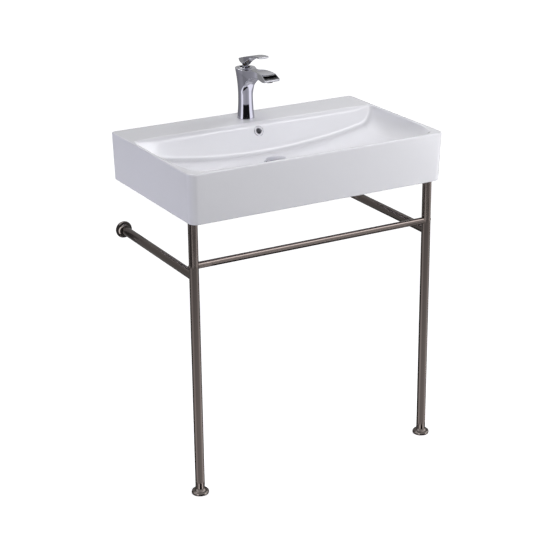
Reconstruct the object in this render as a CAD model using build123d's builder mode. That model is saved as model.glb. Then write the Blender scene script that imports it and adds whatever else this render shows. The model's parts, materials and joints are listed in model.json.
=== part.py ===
from build123d import *
import os
from math import cos, radians, sin, sqrt, tan

# Console washbasin on a two-leg stand. Millimetres, +Z up, +Y towards the wall.
# The origin is on the floor, midway between the legs and midway from front to wall.
os.makedirs("parts", exist_ok=True)

# Driving dimensions of the basin
basin_width = 762.0
basin_depth = 475.0
basin_height = 134.0
rim_height = 900.0
basin_draft = 4.0
front_corner_r = 22.0
back_corner_r = 12.0
rim_round = 4.0
foot_round = 3.0
rim_wall = 10.0
skirt_wall = 11.0
bowl_wall = 9.0
deck_thickness = 14.0
deck_width = 125.5
bowl_depth = 83.0
back_wall_angle = 24.0
floor_bow_x = 2000.0
floor_bow_y = 600.0
side_round = 48.0
back_seam_round = 9.0
front_seam_round = 26.0
drain_y = 5.0
tap_hole_r = 17.5
tap_y_from_wall = 62.5
wall_bolt_spacing = 280.0
wall_bolt_r = 7.0
wall_bolt_drop = 50.0
edge_break = 1.0

# Overflow
overflow_drop = 22.0
overflow_hole_r = 9.0
overflow_ring_r = 14.0
overflow_bore_r = 7.7
overflow_lip = 2.2
overflow_collar = 8.0
duct_half_width = 16.0
duct_height = 12.0
duct_wall = 8.0

# Waste
waste_tube_r = 20.9
waste_hole_r = 23.0
waste_flange_r = 32.0
waste_flange_thick = 3.0
waste_recess = 3.0
waste_recess_gap = 1.0
waste_wall = 2.4
waste_thread_length = 62.0
waste_tail_r = 16.0
waste_tail_length = 34.0
waste_tail_wall = 1.8
window_height = 9.0
window_width = 14.0
boss_r = 38.0
cap_r = 28.0
cap_thick = 3.6
cap_dome = 2.4
cap_lift = 1.4
cap_seal_width = 5.5
cap_stem_r = 4.0
cap_stem_gap = 0.06
cap_collar_r = 7.0
cap_collar_drop = 6.0
cap_travel = 9.0
guide_thick = 5.0
guide_drop = 30.0
guide_hub_r = 8.0
guide_rim = 3.0
spoke_width = 4.0
spring_wire = 1.0
spring_turns = 6
spring_gap = 0.3
seal_thick = 1.5
seal_gap = 0.2
bottom_seal_thick = 5.0
washer_thick = 2.0
nut_thick = 10.0
nut_r = 31.0
thread_gap = 0.1

# Stand
leg_r = 12.7
rail_r = 12.4
bar_r = 9.0
tube_wall = 1.5
leg_inset_x = 25.0
leg_inset_y = 42.5
rail_drop = 148.0
bar_rise = 28.0
weld_gap = 0.05
socket_gap = 1.2
socket_depth = 14.0
socket_boss_wall = 13.0
socket_boss_height = 36.0
top_plug_head = 3.0
top_plug_length = 18.0
plug_gap = 0.1
flange_r = 21.5
flange_thick = 3.0
flange_screw_r = 2.2
flange_pcd = 34.6
spigot_length = 20.0
cover_r = 23.5
cover_height = 15.5
cover_recess = 4.2
cover_recess_gap = 0.4
cover_gap = 0.1
grub_r = 2.0
grub_length = 7.0
grub_height = 11.0
bar_screw_r = 2.5
bar_screw_length = 44.0
bar_screw_head_r = 4.75
bar_screw_head = 2.8
bar_screw_seat = 0.5
bar_screw_socket = 1.5
bar_screw_key = 2.5
bar_insert_length = 26.0
hole_gap = 0.2

# Mixer body
column_base_r = 24.3
column_waist_r = 20.5
column_waist_height = 62.0
column_top_r = 28.6
column_height = 144.0
spout_reach = 156.0
spout_half_width = 20.5
lip_half_width = 23.5
mouth_half_width = 17.5
mouth_lip_half = 21.0
mouth_back = 60.0
channel_width = 10.0
inlet_x = 7.2
inlet_y = 6.0
inlet_thread_r = 4.55
inlet_thread_length = 15.0
inlet_bore_r = 2.3
base_gasket_thick = 1.0
base_gasket_in = 18.5
base_gasket_out = 23.0
stud_y = 12.0
stud_r = 3.0
stud_depth = 14.0
stud_length = 58.0
clamp_r = 27.0
clamp_slot_r = 13.5
clamp_slot_y = 8.0
clamp_gasket_thick = 3.0
clamp_plate_thick = 2.5
clamp_nut_r = 5.77
clamp_nut_thick = 8.0
clip_reach = 136.0
clip_drop = 15.1
clip_tilt = 2.5
clip_r = 9.0
clip_head = 2.6
clip_recess = 1.0
clip_pin_r = 3.0
insert_front = 118.0
insert_tongue = 1.6
insert_slot = 4.6
insert_slot_pitch = 6.6

# Mixer cartridge
housing_r = 17.5
housing_gap = 0.3
housing_wall = 1.6
housing_floor = 2.0
housing_height = 22.0
port_seal_r = 4.4
port_seal_thick = 1.0
lower_disc_r = 13.0
lower_disc_thick = 3.0
upper_disc_r = 12.0
upper_disc_thick = 3.5
disc_play = 0.05
turret_play = 0.05
turret_rise = 0.5
turret_height = 12.9
collar_r = 12.0
collar_height = 4.1
turret_slot_y = 9.0
pivot_rise = 9.0
pivot_pin_r = 1.5
pivot_pin_length = 30.0
pivot_play = 0.06
pin_seat = 0.01
stem_side = 8.0
stem_play = 0.1
stem_rise = 1.0
nose_r = 2.4
nose_play = 0.6
pocket_depth = 2.5
cartridge_nut_r = 19.0
cartridge_nut_gap = 0.2
cartridge_nut_bore = 13.0
cartridge_nut_thick = 7.0
nut_notch = 3.0
cap_ring_thick = 7.0
cap_ring_dome = 1.0
cap_ring_bore = 15.0
cap_ring_sink = 8.5

# Mixer lever
neck_half_width = 6.0
neck_clear = 3.5
neck_length = 14.0
neck_front = 8.5
neck_back = 6.5
paddle_tip_half = 16.0
paddle_middle_half = 13.0
paddle_back_half = 11.0
paddle_flare = 26.0
paddle_middle = 40.0
paddle_rise = 41.0
paddle_thick = 5.0
lever_reach = 113.0
lever_tip_round = 7.0
lever_tail = 18.0
stem_grip = 11.0
lever_screw_rise = 6.5
lever_screw_r = 2.5
lever_screw_length = 7.5
index_plug_r = 3.6
index_plug_length = 5.2

# Places worked out from the driving dimensions
wall_y = basin_depth / 2
front_y = -basin_depth / 2
bottom_z = rim_height - basin_height
deck_edge_y = wall_y - deck_width
deck_under_z = rim_height - deck_thickness
drain_z = rim_height - bowl_depth
duct_out = bowl_wall + duct_height
boss_z = drain_z - duct_out - duct_wall
slope = tan(radians(back_wall_angle))
leg_x = basin_width / 2 - leg_inset_x
leg_y = front_y + leg_inset_y
rail_z = bottom_z - rail_drop
bar_z = rail_z + bar_rise
leg_top_z = bottom_z + socket_depth - top_plug_head
tap_y = wall_y - tap_y_from_wall
overflow_z = rim_height - overflow_drop


def save(piece, name):
    piece.part.label = name
    export_step(piece.part, f"parts/{name}.step")


def section(plane):
    """The plane of a turned profile: its x is the radius and its y the given plane's normal."""
    return Plane(plane.origin, x_dir=plane.x_dir, z_dir=-plane.y_dir)


def turn(plane, corners, mode=Mode.ADD):
    """Turns a profile of (radius, height) corners about the plane's normal."""
    with BuildSketch(section(plane), mode=Mode.PRIVATE) as profile:
        with BuildLine():
            Polyline(*corners, close=True)
        make_face()
    revolve(profile.sketch, axis=Axis(plane.origin, plane.z_dir), mode=mode)


def disc(plane, outer_r, height, inner_r=0, mode=Mode.ADD):
    """A round plate, or a ring where inner_r is given, that stands on the plane."""
    with BuildSketch(plane, mode=Mode.PRIVATE) as profile:
        Circle(outer_r)
        if inner_r:
            Circle(inner_r, mode=Mode.SUBTRACT)
    extrude(profile.sketch, amount=height, mode=mode)


def bore(plane, places, hole_r, depth):
    """Round holes into the part against the plane's normal, at (x, y) places on it."""
    with BuildSketch(plane, mode=Mode.PRIVATE) as profile:
        with Locations(*places):
            Circle(hole_r)
    extrude(profile.sketch, amount=-depth, mode=Mode.SUBTRACT)


# Basin


def outer_form():
    """The basin's outer block: front and sides lean in towards the bottom, the back is upright."""
    side_lean = (
        (basin_draft - basin_width / 2, bottom_z),
        (basin_width / 2 - basin_draft, bottom_z),
        (basin_width / 2, rim_height),
        (-basin_width / 2, rim_height),
    )
    front_lean = (
        (front_y + basin_draft, bottom_z),
        (wall_y + basin_draft, bottom_z),
        (wall_y + basin_draft, rim_height),
        (front_y, rim_height),
    )
    with BuildPart() as form:
        with BuildSketch(Plane.XZ.offset(-wall_y)):
            with BuildLine():
                Polyline(*side_lean, close=True)
            make_face()
        extrude(amount=basin_depth + basin_draft)
        with BuildSketch(Plane.YZ):
            with BuildLine():
                Polyline(*front_lean, close=True)
            make_face()
        extrude(amount=basin_width, both=True, mode=Mode.INTERSECT)
        corners = form.edges().filter_by(lambda e: abs((e % 0).Z) > 0.9)
        fillet(corners.group_by(Axis.Y)[0], front_corner_r)
        fillet(corners.group_by(Axis.Y)[-1], back_corner_r)
        fillet(form.faces().sort_by(Axis.Z)[-1].edges(), rim_round)
        fillet(form.faces().sort_by(Axis.Z)[0].edges(), foot_round)
    return form.part


def back_wall_y(z, grow):
    return deck_edge_y - (rim_height - z) * slope + grow / cos(radians(back_wall_angle))


def bowl_form(grow):
    """The bowl's hollow made larger all round by grow: a bowed floor, round sides, flat back."""
    half = basin_width / 2 - rim_wall + grow
    low = drain_z - grow
    high = rim_height + side_round
    deep = low - side_round
    r = side_round + grow
    bow = floor_bow_x + grow
    x = half - r
    for _ in range(20):
        lean = x / bow
        x = half - r + r * lean / sqrt(1 + lean**2)
    meet_z = low + x**2 / (2 * bow)
    round_z = meet_z + r / sqrt(1 + lean**2)
    with BuildPart() as form:
        with BuildSketch(Plane.XZ.offset(-drain_y)):
            with BuildLine():
                Bezier((-x, meet_z), (0, 2 * low - meet_z), (x, meet_z))
                TangentArc((x, meet_z), (half, round_z), tangent=(1, lean))
                Polyline((half, round_z), (half, high), (-half, high), (-half, round_z))
                TangentArc((-x, meet_z), (-half, round_z), tangent=(-1, lean))
            make_face()
        revolve(axis=Axis((0, drain_y, drain_z + floor_bow_y), (1, 0, 0)))
        with BuildSketch(Plane.YZ):
            with BuildLine():
                Polyline(
                    (front_y + rim_wall - grow, deep),
                    (back_wall_y(deep, grow), deep),
                    (back_wall_y(high, grow), high),
                    (front_y + rim_wall - grow, high),
                    close=True,
                )
            make_face()
        extrude(amount=basin_width, both=True, mode=Mode.INTERSECT)
    return form.part


def bowl_hollow():
    """The bowl's hollow with its back and front seams rounded."""
    with BuildPart() as rounded:
        add(bowl_form(0))
        for end, seam_round in ((-1, back_seam_round), (0, front_seam_round)):
            face = rounded.faces().filter_by(GeomType.PLANE).sort_by(Axis.Y)[end]
            seam = face.edges().filter_by(lambda e: e.center().Z < rim_height + side_round / 2)
            fillet(seam, seam_round)
    return rounded.part


def under_deck(half_x, z_high):
    """A block from the drain back to the skirt, below the deck, as wide as the overflow duct."""
    with BuildPart() as block:
        with BuildSketch(Plane.XY.offset(bottom_z)):
            with Locations((0, (drain_y + inner_back) / 2)):
                Rectangle(2 * half_x, inner_back - drain_y)
        extrude(amount=z_high - bottom_z)
    return block.part


inner_half = basin_width / 2 - basin_draft - skirt_wall
inner_front = front_y + basin_draft + skirt_wall
inner_back = wall_y - skirt_wall
socket_r = leg_r + socket_gap
socket_x = leg_x - socket_r - socket_boss_wall
socket_y = leg_y + socket_r + socket_boss_wall
wall_normal = (0, -cos(radians(back_wall_angle)), sin(radians(back_wall_angle)))
overflow_plane = Plane((0, back_wall_y(overflow_z, 0), overflow_z), x_dir=(1, 0, 0), z_dir=wall_normal)
drain_plane = Plane((0, drain_y, drain_z))
tap_plane = Plane((0, tap_y, rim_height))
leg_places = ((-leg_x, leg_y), (leg_x, leg_y))
bolt_z = rim_height - wall_bolt_drop
bolt_places = ((-wall_bolt_spacing / 2, bolt_z), (wall_bolt_spacing / 2, bolt_z))

outer = outer_form()

with BuildPart() as skin:
    add(bowl_form(bowl_wall))
    add(outer, mode=Mode.INTERSECT)

with BuildPart() as duct_block:
    add(bowl_form(duct_out + duct_wall))
    add(under_deck(duct_half_width + duct_wall, deck_under_z + rim_round), mode=Mode.INTERSECT)

with BuildPart() as duct_hollow:
    add(bowl_form(duct_out))
    add(bowl_form(bowl_wall), mode=Mode.SUBTRACT)
    add(under_deck(duct_half_width, deck_under_z), mode=Mode.INTERSECT)

with BuildPart() as basin:
    add(outer)
    with BuildSketch(Plane.XY.offset(deck_under_z)):
        with Locations((0, (inner_front + inner_back) / 2)):
            RectangleRounded(2 * inner_half, inner_back - inner_front, front_corner_r - skirt_wall)
    extrude(amount=-basin_height, mode=Mode.SUBTRACT)
    add(skin.part)
    add(duct_block.part)
    disc(Plane((0, drain_y, boss_z)), boss_r, drain_z - boss_z)
    with BuildSketch(Plane.XY.offset(bottom_z + foot_round)):
        boss_x = inner_half + skirt_wall / 2 - socket_x
        boss_y = socket_y - inner_front + skirt_wall / 2
        for side in (-1, 1):
            with Locations((side * (socket_x + boss_x / 2), socket_y - boss_y / 2)):
                Rectangle(boss_x, boss_y)
    extrude(amount=socket_boss_height)
    add(bowl_hollow(), mode=Mode.SUBTRACT)
    add(duct_hollow.part, mode=Mode.SUBTRACT)
    rim_loop = basin.faces().sort_by(Axis.Z)[-1].inner_wires().sort_by(SortBy.LENGTH)[-1]
    fillet(rim_loop.edges(), rim_round)
    bore(Plane.XY.offset(bottom_z + socket_depth), leg_places, socket_r, basin_height)
    disc(drain_plane.offset(-waste_recess), waste_flange_r + waste_recess_gap, boss_r, mode=Mode.SUBTRACT)
    bore(drain_plane, ((0, 0),), waste_hole_r, basin_height)
    bore(tap_plane, ((0, 0),), tap_hole_r, deck_thickness + 1)
    bore(overflow_plane, ((0, 0),), overflow_hole_r, bowl_wall + duct_height / 2)
    bore(Plane.XZ.offset(-inner_back + 1), bolt_places, wall_bolt_r, skirt_wall + 2)
save(basin, "basin")

with BuildPart() as overflow_ring:
    turn(
        overflow_plane,
        (
            (overflow_bore_r, -overflow_collar),
            (overflow_hole_r - thread_gap, -overflow_collar),
            (overflow_hole_r - thread_gap, 0),
            (overflow_ring_r, 0),
            (overflow_ring_r, overflow_lip / 2),
            (overflow_ring_r - overflow_lip / 2, overflow_lip),
            (overflow_bore_r + overflow_lip / 2, overflow_lip),
            (overflow_bore_r, overflow_lip / 2),
        ),
    )
save(overflow_ring, "overflow_ring")


# Waste, hung from the recess in the bowl's floor

recess_z = drain_z - waste_recess
flange_z = recess_z + seal_thick
flange_top = flange_z + waste_flange_thick
tube_end = flange_z - waste_thread_length
tube_bore = waste_tube_r - waste_wall
guide_z = flange_top - guide_drop
guide_top = guide_z + guide_thick
shelf_bore = tube_bore - waste_wall / 2
tail_end = tube_end - waste_tail_length
tail_bore = waste_tail_r - waste_tail_wall
window_z = boss_z + duct_wall + (duct_height - window_height) / 2


def at_drain(z):
    return Plane((0, drain_y, z))


with BuildPart() as waste_body:
    turn(
        Plane((0, drain_y, 0)),
        (
            (tube_bore, flange_top - edge_break),
            (tube_bore + edge_break, flange_top),
            (waste_flange_r - 2 * edge_break, flange_top),
            (waste_flange_r, flange_top - 2 * edge_break),
            (waste_flange_r, flange_z),
            (waste_tube_r, flange_z),
            (waste_tube_r, tube_end),
            (waste_tail_r, tube_end),
            (waste_tail_r, tail_end),
            (tail_bore, tail_end),
            (tail_bore, tube_end + waste_wall),
            (shelf_bore, tube_end + waste_wall + shelf_bore - tail_bore),
            (shelf_bore, guide_z),
            (tube_bore, guide_z),
        ),
    )
    for angle in (0, 90):
        with BuildSketch(Plane((0, drain_y, window_z)), mode=Mode.PRIVATE) as window:
            Rectangle(4 * waste_tube_r, window_width, rotation=angle)
        extrude(window.sketch, amount=window_height, mode=Mode.SUBTRACT)
save(waste_body, "waste_body")

with BuildPart() as top_seal:
    disc(at_drain(recess_z), waste_flange_r - 1, seal_thick, waste_tube_r + thread_gap)
save(top_seal, "top_seal")

with BuildPart() as bottom_seal:
    disc(at_drain(boss_z), nut_r, -bottom_seal_thick, waste_tube_r + thread_gap)
save(bottom_seal, "bottom_seal")

with BuildPart() as waste_washer:
    disc(at_drain(boss_z - bottom_seal_thick), nut_r, -washer_thick, waste_tube_r + thread_gap)
save(waste_washer, "waste_washer")

with BuildPart() as waste_nut:
    with BuildSketch(at_drain(boss_z - bottom_seal_thick - washer_thick)):
        RegularPolygon(nut_r, 6)
        Circle(waste_tube_r + thread_gap, mode=Mode.SUBTRACT)
    extrude(amount=-nut_thick)
save(waste_nut, "waste_nut")

with BuildPart() as waste_guide:
    disc(at_drain(guide_z), guide_hub_r, guide_thick)
    disc(at_drain(guide_z), tube_bore - thread_gap, guide_thick, tube_bore - thread_gap - guide_rim)
    for angle in (0, 60, 120):
        with BuildSketch(at_drain(guide_z)):
            Rectangle(2 * (tube_bore - guide_rim), spoke_width, rotation=angle)
        extrude(amount=guide_thick)
    bore(at_drain(guide_top), ((0, 0),), cap_stem_r + cap_stem_gap, guide_thick)
save(waste_guide, "waste_guide")

cap_z = flange_top + cap_lift
collar_top = cap_z - cap_collar_drop
stem_end = guide_z - cap_travel - guide_thick

with BuildPart() as waste_cap:
    with BuildSketch(section(Plane((0, drain_y, 0)))):
        with BuildLine():
            Line((0, cap_z + cap_thick + cap_dome), (0, stem_end))
            Polyline(
                (0, stem_end),
                (cap_stem_r, stem_end),
                (cap_stem_r, collar_top),
                (cap_collar_r, collar_top),
                (cap_collar_r, cap_z),
                (cap_r, cap_z),
                (cap_r, cap_z + cap_thick),
            )
            top_r = (cap_r**2 + cap_dome**2) / (2 * cap_dome)
            RadiusArc((cap_r, cap_z + cap_thick), (0, cap_z + cap_thick + cap_dome), -top_r)
        make_face()
    revolve(axis=Axis((0, drain_y, 0), (0, 0, 1)))
save(waste_cap, "waste_cap")

with BuildPart() as cap_seal:
    disc(at_drain(cap_z), tube_bore + cap_seal_width, seal_gap - cap_lift, tube_bore + edge_break)
save(cap_seal, "cap_seal")

spring_low = guide_top + spring_wire / 2 + seal_gap / 2
spring_high = collar_top - spring_wire / 2 - seal_gap / 2
spring_r = cap_stem_r + spring_gap + spring_wire / 2

with BuildPart() as waste_spring:
    with BuildLine() as coil:
        spring_length = spring_high - spring_low
        Helix(spring_length / spring_turns, spring_length, spring_r, (0, drain_y, spring_low))
    with BuildSketch(Plane(origin=coil.line @ 0, z_dir=coil.line % 0)):
        Circle(spring_wire / 2)
    sweep(is_frenet=True)
save(waste_spring, "waste_spring")


# Stand

tube_gap = tube_wall + plug_gap
spot_r = leg_r - bar_screw_seat
leg_cut_r = leg_r + weld_gap


def cope():
    """Cuts the two legs' rounds out of a tube that meets them."""
    bore(Plane.XY.offset(rim_height), leg_places, leg_cut_r, rim_height)


for side, name in ((-1, "left"), (1, "right")):
    foot = Plane((side * leg_x, leg_y, 0))
    wall = Plane((side * leg_x, wall_y, rail_z), x_dir=(1, 0, 0), z_dir=(0, -1, 0))
    outward = Plane((side * leg_x, leg_y, bar_z), x_dir=(0, 1, 0), z_dir=(side, 0, 0))
    behind = Plane((side * leg_x, leg_y, grub_height), x_dir=(1, 0, 0), z_dir=(0, 1, 0))
    below = Plane((side * leg_x, wall_y - grub_height, rail_z), x_dir=(1, 0, 0), z_dir=(0, 0, -1))

    with BuildPart() as leg:
        disc(foot.offset(flange_thick), leg_r, leg_top_z - flange_thick, leg_r - tube_wall)
        bore(outward.offset(leg_r), ((0, 0),), bar_screw_r + hole_gap, 2 * leg_r)
        bore(outward.offset(leg_r), ((0, 0),), bar_screw_head_r + hole_gap, bar_screw_seat)
        bore(behind.offset(leg_r), ((0, 0),), grub_r + hole_gap, 2 * tube_wall)
    save(leg, f"{name}_leg")

    with BuildPart() as top_plug:
        disc(Plane((side * leg_x, leg_y, leg_top_z)), leg_r, top_plug_head)
        disc(Plane((side * leg_x, leg_y, leg_top_z)), leg_r - tube_gap, -top_plug_length)
    save(top_plug, f"{name}_leg_plug")

    with BuildPart() as rail:
        disc(wall.offset(flange_thick), rail_r, wall_y - flange_thick - leg_y, rail_r - tube_wall)
        cope()
        bore(below.offset(rail_r), ((0, 0),), grub_r + hole_gap, 2 * tube_wall)
    save(rail, f"{name}_rail")

    for base, tube_r, grub_plane, kind in (
        (foot, leg_r, behind, "floor"),
        (wall, rail_r, below, "wall"),
    ):
        with BuildPart() as flange:
            disc(base, flange_r, flange_thick)
            disc(base.offset(flange_thick), tube_r - tube_gap, spigot_length)
            with BuildSketch(base.offset(flange_thick), mode=Mode.PRIVATE) as screw_holes:
                with PolarLocations(flange_pcd / 2, 3, start_angle=30):
                    Circle(flange_screw_r)
            extrude(screw_holes.sketch, amount=-flange_thick, mode=Mode.SUBTRACT)
            bore(grub_plane.offset(tube_r), ((0, 0),), grub_r + thread_gap, grub_length + plug_gap)
        save(flange, f"{name}_{kind}_flange")

        cover_bore = tube_r + cover_gap
        with BuildPart() as cover:
            with BuildSketch(section(base)):
                with BuildLine():
                    Polyline(
                        (cover_r - 0.9, 0),
                        (flange_r + cover_recess_gap, 0),
                        (flange_r + cover_recess_gap, cover_recess),
                        (cover_bore, cover_recess),
                        (cover_bore, cover_height),
                        (leg_r + 0.9, cover_height),
                    )
                    shoulder = (cover_r - 1.9, cover_height - 6.5)
                    ThreePointArc((cover_r - 0.9, 0), (cover_r, cover_recess), shoulder)
                    ThreePointArc(shoulder, (cover_r - 6.5, cover_height - 4.3), (leg_r + 0.9, cover_height))
                make_face()
            revolve(axis=Axis(base.origin, base.z_dir))
        save(cover, f"{name}_{kind}_cover")

with BuildPart() as crossbar:
    disc(Plane((-leg_x, leg_y, bar_z), x_dir=(0, 1, 0), z_dir=(1, 0, 0)), bar_r, 2 * leg_x, bar_r - tube_wall)
    cope()
save(crossbar, "crossbar")

with BuildPart() as bar_inserts:
    for side in (-1, 1):
        end = Plane((side * leg_x, leg_y, bar_z), x_dir=(0, 1, 0), z_dir=(-side, 0, 0))
        disc(end, bar_r - tube_gap, leg_r + bar_insert_length)
        disc(end, bar_screw_r + thread_gap, leg_r + bar_insert_length, mode=Mode.SUBTRACT)
    cope()
save(bar_inserts, "crossbar_inserts")


def bar_screw(side):
    """A button-head screw whose head lies in the leg's flat, seen from the leg's outer side."""
    seat = Plane((side * (leg_x + spot_r), leg_y, bar_z), x_dir=(0, 1, 0), z_dir=(side, 0, 0))
    with BuildPart() as screw:
        disc(seat, bar_screw_r, -bar_screw_length)
        disc(seat, bar_screw_head_r, bar_screw_head)
        fillet(screw.edges().sort_by(Axis(seat.origin, seat.z_dir))[-1], 0.85 * bar_screw_head)
        with BuildSketch(seat.offset(bar_screw_head)):
            RegularPolygon(bar_screw_key / sqrt(3), 6)
        extrude(amount=-bar_screw_socket, mode=Mode.SUBTRACT)
    return screw.part


with BuildPart() as bar_screws:
    add(bar_screw(-1))
    add(bar_screw(1))
save(bar_screws, "crossbar_screws")

with BuildPart() as grub_screws:
    for side in (-1, 1):
        behind = Plane((side * leg_x, leg_y, grub_height), x_dir=(1, 0, 0), z_dir=(0, 1, 0))
        below = Plane((side * leg_x, wall_y - grub_height, rail_z), x_dir=(1, 0, 0), z_dir=(0, 0, -1))
        disc(behind.offset(leg_r - plug_gap), grub_r, -grub_length + plug_gap)
        disc(below.offset(rail_r - plug_gap), grub_r, -grub_length + plug_gap)
save(grub_screws, "flange_grub_screws")


# Mixer, drawn in a side plane whose x runs forward from the tap hole and y up from the deck

side_plane = Plane(origin=(0, tap_y, rim_height), x_dir=(0, -1, 0), z_dir=(-1, 0, 0))
front_plane = Plane(origin=(0, tap_y, rim_height), x_dir=(1, 0, 0), z_dir=(0, -1, 0))
nut_bore_r = cartridge_nut_r + cartridge_nut_gap
cap_z_low = column_height - cap_ring_sink
housing_top = cap_z_low - cartridge_nut_thick
seat_height = housing_top - housing_height
port_places = ((-inlet_x, inlet_y), (inlet_x, inlet_y))
disc_z = seat_height + housing_floor
slide_z = disc_z + lower_disc_thick
upper_disc_top = slide_z + upper_disc_thick
turret_z = upper_disc_top + turret_rise
turret_top = turret_z + turret_height
housing_bore = housing_r - housing_wall
pivot_height = turret_z + pivot_rise
stem_bottom = turret_z + stem_rise
nose_bottom = upper_disc_top - pocket_depth + nose_play
neck_bottom = turret_top + collar_height + neck_clear
neck_top = neck_bottom + neck_length
stem_top = neck_top + stem_grip
lever_screw_height = neck_top + lever_screw_rise
paddle_top = neck_top + paddle_rise


def at_tap(height):
    return tap_plane.offset(height)


clip_normal = (0, -sin(radians(clip_tilt)), -cos(radians(clip_tilt)))
clip_origin = (0, tap_y - clip_reach, rim_height + column_height - clip_drop)
clip_plane = Plane(clip_origin, x_dir=(1, 0, 0), z_dir=clip_normal)

# The mixer's outlines, from the column's height and the spout's reach
top_line = (
    (-column_top_r - 4, column_height - 2.5),
    (0, column_height - 2.5),
    (31, column_height - 3.5),
    (64, column_height + 1.5),
    (92, column_height + 5),
    (116, column_height + 5),
    (spout_reach - 22, column_height + 3.5),
)
nose_line = (
    top_line[-1],
    (spout_reach - 3, column_height - 6),
    (spout_reach, column_height - 7),
    (spout_reach - 2, column_height - 11),
)
under_line = (
    nose_line[-1],
    (146, column_height - 14.6),
    (126, column_height - 15.5),
    (100, column_height - 13),
    (78, column_height - 16),
    (55, column_height - 25),
    (36, column_height - 37),
    (18, column_height - 56),
)
mouth_floor_back = column_height - 11.5
mouth_floor_front = column_height - 5.5
mouth_top_back = column_height - 3
mouth_top_front = column_height + 1
mouth_front = spout_reach - 5
mouth_top_y = spout_reach - 26
plan_side = (
    (lip_half_width, 3 - spout_reach),
    (spout_half_width, -95),
    (spout_half_width, -50),
    (column_top_r - 4, 0),
)
spout_front = (
    (column_waist_r - 4, column_height - 50),
    (spout_half_width, column_height - 22),
    (column_top_r - 2, column_height),
    (column_top_r - 2, 3 * column_height),
)


def mouth_floor(reach):
    """The height of the mouth's floor at a distance forward of the tap hole."""
    climb = (mouth_floor_front - mouth_floor_back) / (mouth_front - mouth_back)
    return mouth_floor_back + (reach - mouth_back) * climb


clip_length = mouth_floor(clip_reach) + insert_tongue / 2 - column_height + clip_drop


def side_block(half_width, corners):
    """A block across the mixer from the corners of a side outline."""
    with BuildPart() as block:
        with BuildSketch(side_plane):
            with BuildLine():
                Polyline(*corners, close=True)
            make_face()
        extrude(amount=half_width, both=True)
    return block.part


with BuildPart() as column:
    with BuildSketch(section(tap_plane)):
        with BuildLine():
            waist = (column_waist_r, column_waist_height)
            rise = column_height - column_waist_height
            flare = column_top_r - column_waist_r
            foot_flare = column_base_r - column_waist_r
            RadiusArc((column_base_r, 0), waist, (column_waist_height**2 + foot_flare**2) / (2 * foot_flare))
            RadiusArc(waist, (column_top_r, column_height), (rise**2 + flare**2) / (2 * flare))
            Polyline((column_top_r, column_height), (0, column_height), (0, 0), (column_base_r, 0))
        make_face()
    revolve(axis=Axis(tap_plane.origin, (0, 0, 1)))

with BuildPart() as spout:
    with BuildSketch(side_plane):
        with BuildLine():
            Polyline(top_line[0], (top_line[0][0], 2 * column_height), (top_line[-1][0], 2 * column_height))
            Polyline((top_line[-1][0], 2 * column_height), *nose_line)
            Spline(*under_line)
            Polyline(under_line[-1], (top_line[0][0], under_line[-1][1]), top_line[0])
        make_face()
    extrude(amount=2 * column_top_r, both=True)
    with BuildSketch(tap_plane):
        with BuildLine():
            Spline(*plan_side)
            ThreePointArc(plan_side[-1], (0, column_waist_r / 2), (-plan_side[-1][0], 0))
            Spline(*((-x, y) for x, y in reversed(plan_side)))
            ThreePointArc((-lip_half_width, 3 - spout_reach), (0, -spout_reach), plan_side[0])
        make_face()
    extrude(amount=3 * column_height, mode=Mode.INTERSECT)
    with BuildSketch(front_plane):
        with BuildLine():
            Polyline(*spout_front, *((-x, z) for x, z in reversed(spout_front)), close=True)
        make_face()
    extrude(amount=2 * spout_reach, both=True, mode=Mode.INTERSECT)

with BuildPart() as above:
    with BuildSketch(side_plane):
        with BuildLine():
            Spline(*top_line)
            Polyline(
                top_line[-1],
                (top_line[-1][0], 3 * column_height),
                (top_line[0][0], 3 * column_height),
                top_line[0],
            )
        make_face()
    extrude(amount=2 * column_top_r, both=True)



def mouth_block(gap, corners):
    """A block that widens with the mouth towards the lip, from the corners of a side outline."""
    back_half = mouth_half_width - gap
    lip_half = mouth_lip_half - gap
    with BuildPart() as block:
        add(side_block(lip_half_width, corners))
        with BuildSketch(tap_plane):
            with BuildLine():
                Polyline(
                    (back_half, -mouth_back),
                    (lip_half, -spout_reach),
                    (-lip_half, -spout_reach),
                    (-back_half, -mouth_back),
                    close=True,
                )
            make_face()
        extrude(amount=3 * column_height, mode=Mode.INTERSECT)
    return block.part


mouth = mouth_block(
    0,
    (
        (mouth_back, mouth_floor_back),
        (mouth_back, mouth_top_back),
        (mouth_top_y, mouth_top_front),
        (2 * spout_reach, mouth_top_front),
        (2 * spout_reach, mouth_floor_front),
        (mouth_front, mouth_floor_front),
    ),
)
channel = side_block(
    channel_width / 2,
    (
        (housing_r, disc_z + 1),
        (housing_r, slide_z + 3),
        (mouth_back + 1, mouth_top_back - 2),
        (mouth_back + 1, mouth_floor_back + 1),
    ),
)

with BuildPart() as mixer_body:
    add(column.part)
    add(spout.part)
    add(above.part, mode=Mode.SUBTRACT)
    add(mouth, mode=Mode.SUBTRACT)
    add(channel, mode=Mode.SUBTRACT)
    bore(at_tap(2 * column_height), ((0, 0),), housing_r + housing_gap, 2 * column_height - seat_height)
    bore(at_tap(2 * column_height), ((0, 0),), nut_bore_r, 2 * column_height - housing_top)
    bore(at_tap(seat_height), port_places, inlet_bore_r, seat_height)
    bore(at_tap(inlet_thread_length), port_places, inlet_thread_r, inlet_thread_length)
    bore(at_tap(stud_depth), ((0, -stud_y),), stud_r + thread_gap, stud_depth)
    disc(tap_plane, base_gasket_out, base_gasket_thick, base_gasket_in, mode=Mode.SUBTRACT)
    disc(clip_plane.offset(-clip_recess), clip_r + hole_gap, 2 * clip_head, mode=Mode.SUBTRACT)
    disc(clip_plane, clip_pin_r + plug_gap, -clip_length, mode=Mode.SUBTRACT)
save(mixer_body, "mixer_body")

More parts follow.
